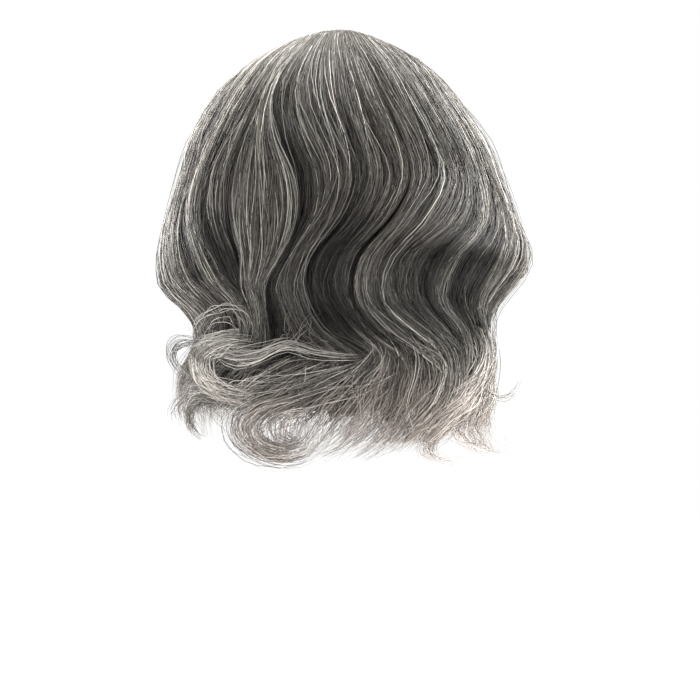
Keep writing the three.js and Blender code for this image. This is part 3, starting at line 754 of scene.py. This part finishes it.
def curl_core(row):
    """A thin band of under-hair that fills a curl and narrows to both its ends."""
    taper = np.sqrt(np.sin(np.pi * np.linspace(*CURL_CORE_TAPER, CURL_CORE_ROWS)))
    share = 0.5 + row["core"] * column(taper) * np.linspace(-0.5, 0.5, CURL_CORE_COLUMNS)
    reach = np.broadcast_to(column(np.linspace(*CURL_CORE_REACHES, CURL_CORE_ROWS)), share.shape)
    outer, drop = curl_surface(row, share, reach, -CURL_CORE_DEPTH)
    inner, drop = curl_surface(row, share, reach, -CURL_CORE_DEPTH - CURL_CORE_WALL)
    return wall_arrays(outer, inner, 0.5 + 0.7 * ramp(drop, start=235, full=285))


def head_point(azimuth, drop, outward):
    """Points of the cap, in millimetres below the inside of the crown."""
    above = np.maximum(1 - drop / HEAD_CROWN_TO_WIDEST, 0)
    under = np.maximum(drop - HEAD_CROWN_TO_WIDEST, 0) / HEAD_NAPE_LENGTH
    share = np.sqrt(1 - above ** 2) - HEAD_NAPE_TAPER * under ** 2
    across = np.sin(np.radians(azimuth))
    backward = np.cos(np.radians(azimuth))
    depth = np.where(backward > 0, HEAD_BACK, HEAD_FRONT) + outward
    width = HEAD_HALF_WIDTH + outward
    return np.stack([width * share * across, -depth * share * backward, outward * above - drop], axis=-1)


def cap_wall():
    """The net cap: a thin wall round the head that closes on itself at the rim."""
    azimuth = column(np.linspace(-180, 180, CAP_COLUMNS))
    share = np.linspace(CAP_FIRST_ROW, 1, CAP_ROWS)[None, :] ** CAP_CROWDING
    drop = smooth_curve(CAP_RIM_AZIMUTHS, CAP_RIM_DROPS, np.abs(azimuth)) * share
    outer = head_point(azimuth, drop, CAP_WALL)
    return wall_arrays(outer, head_point(azimuth, drop, 0.0), np.ones(drop.shape))


def strand_colours(drop, depth, clump, pale, fade, glow):
    """A colour for each point of each strand: dark or pale with its clump, paler at the tips, and with
    painted highlights and painted shade multiplied in.
    """
    count = len(drop)
    clumps = clump.max() + 1
    clump_tone = np.exp(random.normal(0, CLUMP_SPREAD, clumps))[clump]
    clump_pale = np.clip(pale * random.uniform(*CLUMP_PALE_SPREAD, clumps), 0, MOST_PALE)[clump]
    is_pale = random.uniform(0, 1, count) < clump_pale
    strand_tone = np.exp(random.normal(0, STRAND_SPREAD, count))
    tone = np.where(is_pale, glow * PALE_TONE, DARK_TONE) * clump_tone * strand_tone
    tint = np.where(column(is_pale), PALE_TINT, HAIR_TINT) * random.uniform(*TINT_SPREAD, (count, 3))
    base = column(np.clip(tone, *TONE_LIMITS)) * tint
    # painted highlights and shade: a slow wave of brightness along each strand
    glint = random.uniform(0, FULL_TURN, (count, 1)) + drop / random.uniform(*GLINT_LENGTHS, (count, 1))
    # painted shade on the middle lengths, under the bulge of the hair
    in_light = 1 - MIDDLE_SHADE * ramp(drop, start=110, full=175) * (1 - ramp(drop, start=215, full=245))
    # painted shade: the deeper a strand lies, the darker it is painted
    painted_depth_shade = 1 - DEPTH_SHADE * ramp(depth, start=1, full=10)
    # all the painted light and shade together
    painted_light_and_shade = np.exp(GLINT * np.sin(glint)) * in_light * painted_depth_shade
    faded = fade * random.uniform(*TIP_FADE, (count, 1)) * ramp(drop, start=225, full=285)
    faded = faded[..., None]
    return (base[:, None, :] * (1 - faded) + TIP_COLOUR * faded) * painted_light_and_shade[..., None]


def strand_radius(lines, thickest):
    """Radii in millimetres: fine at the root, full along the strand and fine again at the tip."""
    count, points = lines.shape[:2]
    step = np.linspace(0, 1, points)[None, :]
    from_root = 0.6 + 0.4 * ramp(step, start=0, full=0.1)
    to_tip = 1 - 0.7 * ramp(step, start=0.75, full=1)
    return thickest * random.uniform(*RADIUS_SPREAD, (count, 1)) * from_root * to_tip


def map_corners(left, low, width, height):
    """The four corners of cells on the map, in the order of a quad's corners."""
    corners = ((left, low), (left + width, low), (left + width, low + height), (left, low + height))
    return np.stack([np.stack(corner, axis=-1) for corner in corners], axis=-2)


def ring_quads(tubes, points, sides):
    """The quads round so many tubes, and the tube, point and corner where each begins."""
    tube, point, corner = np.indices((tubes, points - 1, sides))
    here = (tube * points + point) * sides
    there = here + sides
    following = (corner + 1) % sides
    quads = np.stack([here + corner, here + following, there + following, there + corner], axis=-1)
    return quads.reshape(-1, 4), tube, point, corner


def tube_vertices(lines, radius):
    """The corners of a tube round each point of the lines, the first of them away from the head."""
    tangent = unit(np.gradient(lines, axis=1))
    outward = unit(lines * OUTWARD_SCALE + OUTWARD_SHIFT)
    side = unit(np.cross(tangent, outward))
    top = np.cross(side, tangent)
    angle = column(TUBE_ANGLES)
    ring = np.cos(angle) * side[:, :, None, :] + np.sin(angle) * top[:, :, None, :]
    return lines[:, :, None, :] + ring * radius[:, :, None, None]


def tube_arrays(lines, radius, colours):
    """Vertices, faces, colours and map of three-sided closed tubes along lines in millimetres."""
    count, points = lines.shape[:2]
    quads, strand, point, corner = ring_quads(count, points, TUBE_SIDES)
    first = np.arange(count) * points * TUBE_SIDES
    last = first + (points - 1) * TUBE_SIDES
    first_end = np.stack([first + 2, first + 1, first], axis=-1)
    last_end = np.stack([last, last + 1, last + 2], axis=-1)

    rows = max(count // TUBE_MAP["row"], 1)
    columns = math.ceil(count / rows)
    grid = np.array((columns, rows))
    number = np.arange(count)
    cell_low = np.stack([number % columns, number // columns], axis=-1) / grid
    cell_size = TUBE_MAP["cell"] / grid
    height = TUBE_MAP["height"] / (points - 1)
    quad_map = map_corners(corner / TUBE_SIDES, TUBE_MAP["low"] + height * point, 1 / TUBE_SIDES, height)
    end_maps = [cell_low[:, None, :] + (TUBE_END_MAP + (left, 0)) * cell_size for left in (0, 0.5)]
    vertices = tube_vertices(lines, radius).reshape(-1, 3) * MM
    return dict(
        vertices=vertices,
        quads=quads,
        triangles=np.concatenate([first_end, last_end]),
        colours=np.repeat(colours, TUBE_SIDES, axis=1).reshape(-1, 3),
        flow=np.zeros_like(vertices),
        quad_map=(cell_low[strand][..., None, :] + quad_map * cell_size).reshape(-1, 4, 2),
        triangle_map=np.concatenate(end_maps),
        map_weight=count,
    )


def wall_flow(outer, inner):
    """Where each point of a wall lies across and along its hair in millimetres, and the wall's seed."""
    rows, columns = outer.shape[:2]
    middle_row = rows // 2
    across = lengths_to(outer[middle_row])
    along = lengths_to(outer[:, columns // 2])
    thickness = np.linalg.norm(outer[middle_row] - inner[middle_row], axis=-1).mean()
    flow = np.empty((rows, 2 * columns, 3))
    flow[..., 0] = np.concatenate([across, across[::-1] + thickness])
    flow[..., 1] = column(along)
    flow[..., 2] = random.uniform(0, WALL_SEEDS)
    return flow


def wall_arrays(outer, inner, shade):
    """Vertices, faces, shades, flow and map of a closed wall between two grids in millimetres."""
    rows, columns = outer.shape[:2]
    size = 2 * columns
    sides, _, row, place = ring_quads(1, rows, size)
    strip = np.arange(columns - 1)
    back = size - 2 - strip
    first_end = np.stack([strip + 1, strip, back + 1, back], axis=-1)
    last_end = np.stack([strip, strip + 1, back, back + 1], axis=-1) + (rows - 1) * size

    width = WALL_MAP["width"] / size
    height = WALL_MAP["height"] / (rows - 1)
    side_map = map_corners(width * place, WALL_MAP["low"] + height * row, width, height)
    end_width = WALL_END_MAP["width"] / (columns - 1)
    end_right = WALL_END_MAP["left"] + end_width * (strip + 1)
    end_maps = [
        map_corners(end_right, np.full(columns - 1, low), -end_width, WALL_END_MAP["height"])
        for low in WALL_END_MAP["lows"]
    ]
    # painted shade on the outside's edge columns and over the whole inside
    outer_shade = shade.copy()
    outer_shade[:, (0, -1)] *= WALL_EDGE_SHADE
    shades = np.concatenate([outer_shade, np.full(shade.shape, WALL_INSIDE_SHADE)], axis=1)
    return dict(
        vertices=np.concatenate([outer, inner[:, ::-1]], axis=1).reshape(-1, 3) * MM,
        quads=np.concatenate([sides, first_end, last_end]),
        triangles=np.zeros((0, 3), dtype=int),
        colours=np.repeat(shades.reshape(-1, 1), 3, axis=1),
        flow=wall_flow(outer, inner).reshape(-1, 3),
        quad_map=np.concatenate([side_map.reshape(-1, 4, 2), *end_maps]),
        triangle_map=np.zeros((0, 3, 2)),
        map_weight=WALL_MAP_WEIGHT,
    )


def facing_out(part):
    """The same arrays with every face listed the way that makes it face out of the part."""
    quads = part["quads"]
    triangles = np.concatenate([part["triangles"], quads[:, (0, 1, 2)], quads[:, (0, 2, 3)]])
    first, second, third = (part["vertices"][triangles[:, corner]] for corner in range(3))
    if np.sum(first * np.cross(second, third)) > 0:
        return part
    turned = ("quads", "triangles", "quad_map", "triangle_map")
    return dict(part, **{key: part[key][:, ::-1] for key in turned})


def set_all(items, key, values, kind=np.float32):
    """Sets one property of all the items of a mesh."""
    items.foreach_set(key, values.astype(kind).ravel())


def place_object(name, data, location=(0, 0, 0), rotation=(0, 0, 0)):
    """A new object in the scene."""
    placed = bpy.data.objects.new(name, data)
    placed.location = location
    placed.rotation_euler = rotation
    bpy.context.scene.collection.objects.link(placed)
    return placed


def add_piece(name, parts, materials, node):
    """A piece of several sets of arrays, each with its own material and band of the map."""
    parts = [facing_out(part) for part in parts]
    whole_weight = sum(part["map_weight"] for part in parts)
    offset = 0
    band_low = 0
    loops, sizes, maps, slots = [], [], [], []
    for number, part in enumerate(parts):
        band = part["map_weight"] / whole_weight
        for faces, corners in (("quads", "quad_map"), ("triangles", "triangle_map")):
            count, size = part[faces].shape
            loops.append(part[faces].ravel() + offset)
            sizes.append(np.full(count, size))
            maps.append(part[corners].reshape(-1, 2) * (1, band) + (0, band_low))
            slots.append(np.full(count, number))
        offset += len(part["vertices"])
        band_low += band
    loops, sizes, maps, slots = (np.concatenate(arrays) for arrays in (loops, sizes, maps, slots))
    vertices, colours, flow = (
        np.concatenate([part[key] for part in parts]) for key in ("vertices", "colours", "flow")
    )
    rgba = np.concatenate([colours, np.ones((len(colours), 1))], axis=1)

    mesh = bpy.data.meshes.new(name)
    mesh.vertices.add(len(vertices))
    mesh.loops.add(len(loops))
    mesh.polygons.add(len(sizes))
    set_all(mesh.vertices, "co", vertices)
    set_all(mesh.loops, "vertex_index", loops, np.int32)
    set_all(mesh.polygons, "loop_start", np.cumsum(sizes) - sizes, np.int32)
    set_all(mesh.polygons, "material_index", slots, np.int32)
    set_all(mesh.polygons, "use_smooth", np.ones(len(sizes)), bool)
    set_all(mesh.uv_layers.new(name="OFBake").uv, "vector", maps)
    set_all(mesh.color_attributes.new("colour_and_painted_light", "FLOAT_COLOR", "POINT").data, "color", rgba)
    set_all(mesh.attributes.new("flow", "FLOAT_VECTOR", "POINT").data, "vector", flow)
    mesh.update(calc_edges=True)
    mesh.validate()
    for material in materials:
        mesh.materials.append(material)
    piece = place_object(name, mesh)
    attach(piece, "root")
    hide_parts(node)


def new_material(name):
    """A material, its node tree and its principled shader."""
    material = bpy.data.materials.new(name)
    material.use_nodes = True
    return material, material.node_tree, material.node_tree.nodes["Principled BSDF"]


def set_inputs(tree, node, inputs):
    """Sets a node's inputs to values, or feeds them from the outputs of other nodes."""
    for name, value in inputs.items():
        if isinstance(value, bpy.types.NodeSocket):
            tree.links.new(value, node.inputs[name])
        else:
            node.inputs[name].default_value = value


def add_node(tree, kind, output, inputs, **settings):
    """One output of a new shader node with these inputs and settings."""
    node = tree.nodes.new("ShaderNode" + kind)
    for name, value in settings.items():
        setattr(node, name, value)
    set_inputs(tree, node, inputs)
    return node.outputs[output]


def calculate(tree, operation, *values):
    """The result of a calculation with numbers or the outputs of nodes."""
    return add_node(tree, "Math", "Value", dict(enumerate(values)), operation=operation)


def colour_and_painted_light(tree):
    """The colour that the mesh gives for a point, with its painted light and shade."""
    return add_node(tree, "Attribute", "Color", {}, attribute_name="colour_and_painted_light")


def flow_outputs(tree):
    """Where a point lies across and along its hair, and the seed of its wall."""
    flow = add_node(tree, "Attribute", "Vector", {}, attribute_name="flow")
    return add_node(tree, "SeparateXYZ", "X", {"Vector": flow}).node.outputs


def colour_ramp(tree, factor, stops):
    """Colours that change with a factor, from stops of a position and a colour."""
    colour = add_node(tree, "ValToRGB", "Color", {"Fac": factor})
    elements = colour.node.color_ramp.elements
    while len(elements) < len(stops):
        elements.new(0.5)
    for element, (position, shade) in zip(elements, stops):
        element.position = position
        element.color = shade
    return colour


def bump(tree, height, strength):
    """The normals of a fine relief."""
    inputs = {"Height": height, "Strength": strength, "Distance": BUMP_DISTANCE}
    return add_node(tree, "Bump", "Normal", inputs)


def strand_material(name):
    """Hair coloured by its colour attribute, which holds painted light and shade, with a fine change of tone
    along it.
    """
    material, tree, shader = new_material(name)
    place = add_node(tree, "TexCoord", "Object", {})
    noise = add_node(tree, "TexNoise", "Fac", {"Vector": place, "Scale": 260.0, "Detail": 3.0})
    tone = add_node(tree, "MapRange", "Result", {"Value": noise, "To Min": 0.72, "To Max": 1.28})
    inputs = {0: colour_and_painted_light(tree), "Scale": tone}
    toned = add_node(tree, "VectorMath", "Vector", inputs, operation="SCALE")
    gloss = {"Roughness": 0.5, "IOR": HAIR_IOR, "Specular IOR Level": 0.2}
    set_inputs(tree, shader, {"Base Color": toned, **gloss})
    return material


def under_material(name):
    """Under-hair: fine fibres of many tones that follow the flow of the hair."""
    material, tree, shader = new_material(name)
    across, along, seed = flow_outputs(tree)

    def noise(across, across_frequency, along_frequency, detail):
        across = calculate(tree, "MULTIPLY", across, across_frequency)
        down = calculate(tree, "MULTIPLY", along, along_frequency)
        place = add_node(tree, "CombineXYZ", "Vector", {"X": across, "Y": down, "Z": seed})
        return add_node(tree, "TexNoise", "Fac", {"Vector": place, "Scale": 1.0, "Detail": detail})

    meander = noise(across, MEANDER_FREQUENCY, MEANDER_FREQUENCY, detail=2.0)
    across = calculate(tree, "ADD", across, calculate(tree, "MULTIPLY", meander, MEANDER))
    fibre = noise(across, FIBRE_FREQUENCY, ALONG_FREQUENCY, detail=3.0)
    clump = noise(across, FIBRE_CLUMP_FREQUENCY, ALONG_FREQUENCY, detail=1.0)
    fibre_part = calculate(tree, "MULTIPLY", fibre, FIBRE_WEIGHT)
    clump_part = calculate(tree, "MULTIPLY", clump, FIBRE_CLUMP_WEIGHT)
    stops = [(position, (*(tone * HAIR_TINT), 1)) for position, tone in UNDER_TONES]
    colour = colour_ramp(tree, calculate(tree, "ADD", fibre_part, clump_part), stops)
    # multiplied by the painted shade of the walls
    inputs = {0: colour, 1: colour_and_painted_light(tree)}
    shaded = add_node(tree, "VectorMath", "Vector", inputs, operation="MULTIPLY")
    gloss = {"Roughness": 0.6, "IOR": HAIR_IOR, "Specular IOR Level": 0.12}
    relief = bump(tree, fibre, strength=0.6)
    set_inputs(tree, shader, {"Base Color": shaded, "Normal": relief, **gloss})
    return material


def net_material(name):
    """A dark cap of fine net with a row of stitched weft every few millimetres."""
    material, tree, shader = new_material(name)
    down, around, _ = flow_outputs(tree)

    def wave(value, pitch):
        return calculate(tree, "SINE", calculate(tree, "MULTIPLY", value, 2 * math.pi / pitch))

    first = wave(calculate(tree, "ADD", down, around), NET_PITCH)
    second = wave(calculate(tree, "SUBTRACT", down, around), NET_PITCH)
    net = calculate(tree, "MAXIMUM", first, second)
    weft = calculate(tree, "GREATER_THAN", wave(down, WEFT_PITCH), WEFT_THRESHOLD)
    stitch = calculate(tree, "ADD", wave(around, STITCH_PITCH), STITCH_HEIGHT)
    height = calculate(tree, "ADD", net, calculate(tree, "MULTIPLY", weft, stitch))
    level = add_node(tree, "MapRange", "Result", {"Value": height, "From Min": 0.2, "From Max": 2.5})
    colour = colour_ramp(tree, level, ((0, NET_DARK), (1, NET_PALE)))
    relief = bump(tree, height, strength=0.7)
    set_inputs(tree, shader, {"Base Color": colour, "Normal": relief, "Roughness": 0.8})
    return material


hair_fibre = strand_material("hair_fibre")
hair_under = under_material("hair_under")
cap_net = net_material("cap_net")


def strand_part(strands, radius, pale, fade, glow=1.0):
    """The arrays of strands of one kind."""
    lines, drop, depth, clump = strands
    radii = strand_radius(lines, radius)
    return tube_arrays(lines, radii, strand_colours(drop, depth, clump, pale, fade, glow))


def add_long_lock(row, next_row):
    """A long lock: its strands, the strands inside it and its under-hair."""
    lines, drop, depth, clump = lock_strands(row, next_row)
    glow = PAINTED_HIGHLIGHTS.get(row["name"], 1.0)
    colours = strand_colours(drop, depth, clump, row["pale"], fade=0.7, glow=glow)
    strands = tube_arrays(lines, strand_radius(lines, LONG_RADIUS), colours)
    inner = strand_part(inner_strands(row, next_row), radius=0.3, pale=0.2, fade=0.5)
    parts = [strands, inner, lock_core(row, next_row)]
    materials = [hair_fibre, hair_fibre, hair_under]
    add_piece("hair_" + row["name"], parts, materials, row["name"])


def curl_parts(node):
    """The strands and bands of every curl that belongs to a node, and their materials."""
    parts, materials = [], []
    for given in CURLS:
        if given["node"] != node:
            continue
        row = dict(CURL_DEFAULTS, **given)
        looks = dict(pale=row["pale"], fade=row["fade"], glow=row["glow"])
        parts.append(strand_part(curl_strands(row), radius=0.19, **looks))
        materials.append(hair_fibre)
        if row["core"] > 0:
            parts.append(curl_core(row))
            materials.append(hair_under)
    return parts, materials


def add_hem_lock(row, next_row, node):
    """A hem lock: its strands, its under-hair and the curls at its end."""
    strands = strand_part(hem_strands(row, next_row), radius=0.28, pale=0.3, fade=0.5)
    curls, curl_materials = curl_parts(node)
    parts = [strands, hem_core(row, next_row)] + curls
    add_piece("hair_" + node, parts, [hair_fibre, hair_under] + curl_materials, node)


def add_floor():
    """The pale floor, a little bright of its own."""
    bpy.ops.mesh.primitive_plane_add(size=FLOOR_SIZE, location=(0, 0, -FLOOR_DROP))
    floor = bpy.context.object
    floor.name = "floor"
    material, tree, shader = new_material("pale_floor")
    glow = {"Emission Color": WHITE, "Emission Strength": 0.35}
    set_inputs(tree, shader, {"Base Color": FLOOR_COLOUR, "Roughness": 0.9, **glow})
    floor.data.materials.append(material)


def add_surroundings():
    """White all round."""
    world = bpy.data.worlds.new("white_studio")
    world.use_nodes = True
    background = world.node_tree.nodes["Background"]
    set_inputs(world.node_tree, background, {"Color": WHITE, "Strength": 1.0})
    bpy.context.scene.world = world
    bpy.context.scene.view_settings.view_transform = "Standard"


def add_lamp(name, place, size, energy):
    """A soft square lamp that faces the wig."""
    lamp = bpy.data.lights.new(name, "AREA")
    lamp.size = size
    lamp.energy = energy
    across, forward, up = LAMP_TARGET - np.array(place)
    pitch = math.atan2(math.hypot(across, forward), -up)
    yaw = math.atan2(across, -forward)
    place_object(name, lamp, place, (pitch, 0, math.pi + yaw))


def add_camera():
    """A level camera behind the wig whose picture is FRAME_WIDTH wide there."""
    camera = bpy.data.cameras.new("camera")
    camera.sensor_width = SENSOR_WIDTH
    camera.lens = SENSOR_WIDTH * CAMERA_DISTANCE / FRAME_WIDTH
    place = (CAMERA_RIGHT, -CAMERA_DISTANCE, CAMERA_HEIGHT)
    bpy.context.scene.camera = place_object("camera", camera, place, (math.radians(90), 0, 0))


for row, next_row in zip(LOCKS, LOCKS[1:]):
    add_long_lock(row, next_row)

for number, (row, next_row) in enumerate(zip(HEM_LOCKS, HEM_LOCKS[1:]), start=1):
    add_hem_lock(row, next_row, f"hem_lock_{number}")

for node in LOOSE_CURL_NODES:
    parts, materials = curl_parts(node)
    add_piece("hair_" + node, parts, materials, node)

add_piece("hair_crown", [crown_core()], [hair_under], "crown_hair")
add_piece("net_cap", [cap_wall()], [cap_net], "cap")

add_floor()
add_surroundings()
for lamp in LAMPS:
    add_lamp(**lamp)
add_camera()
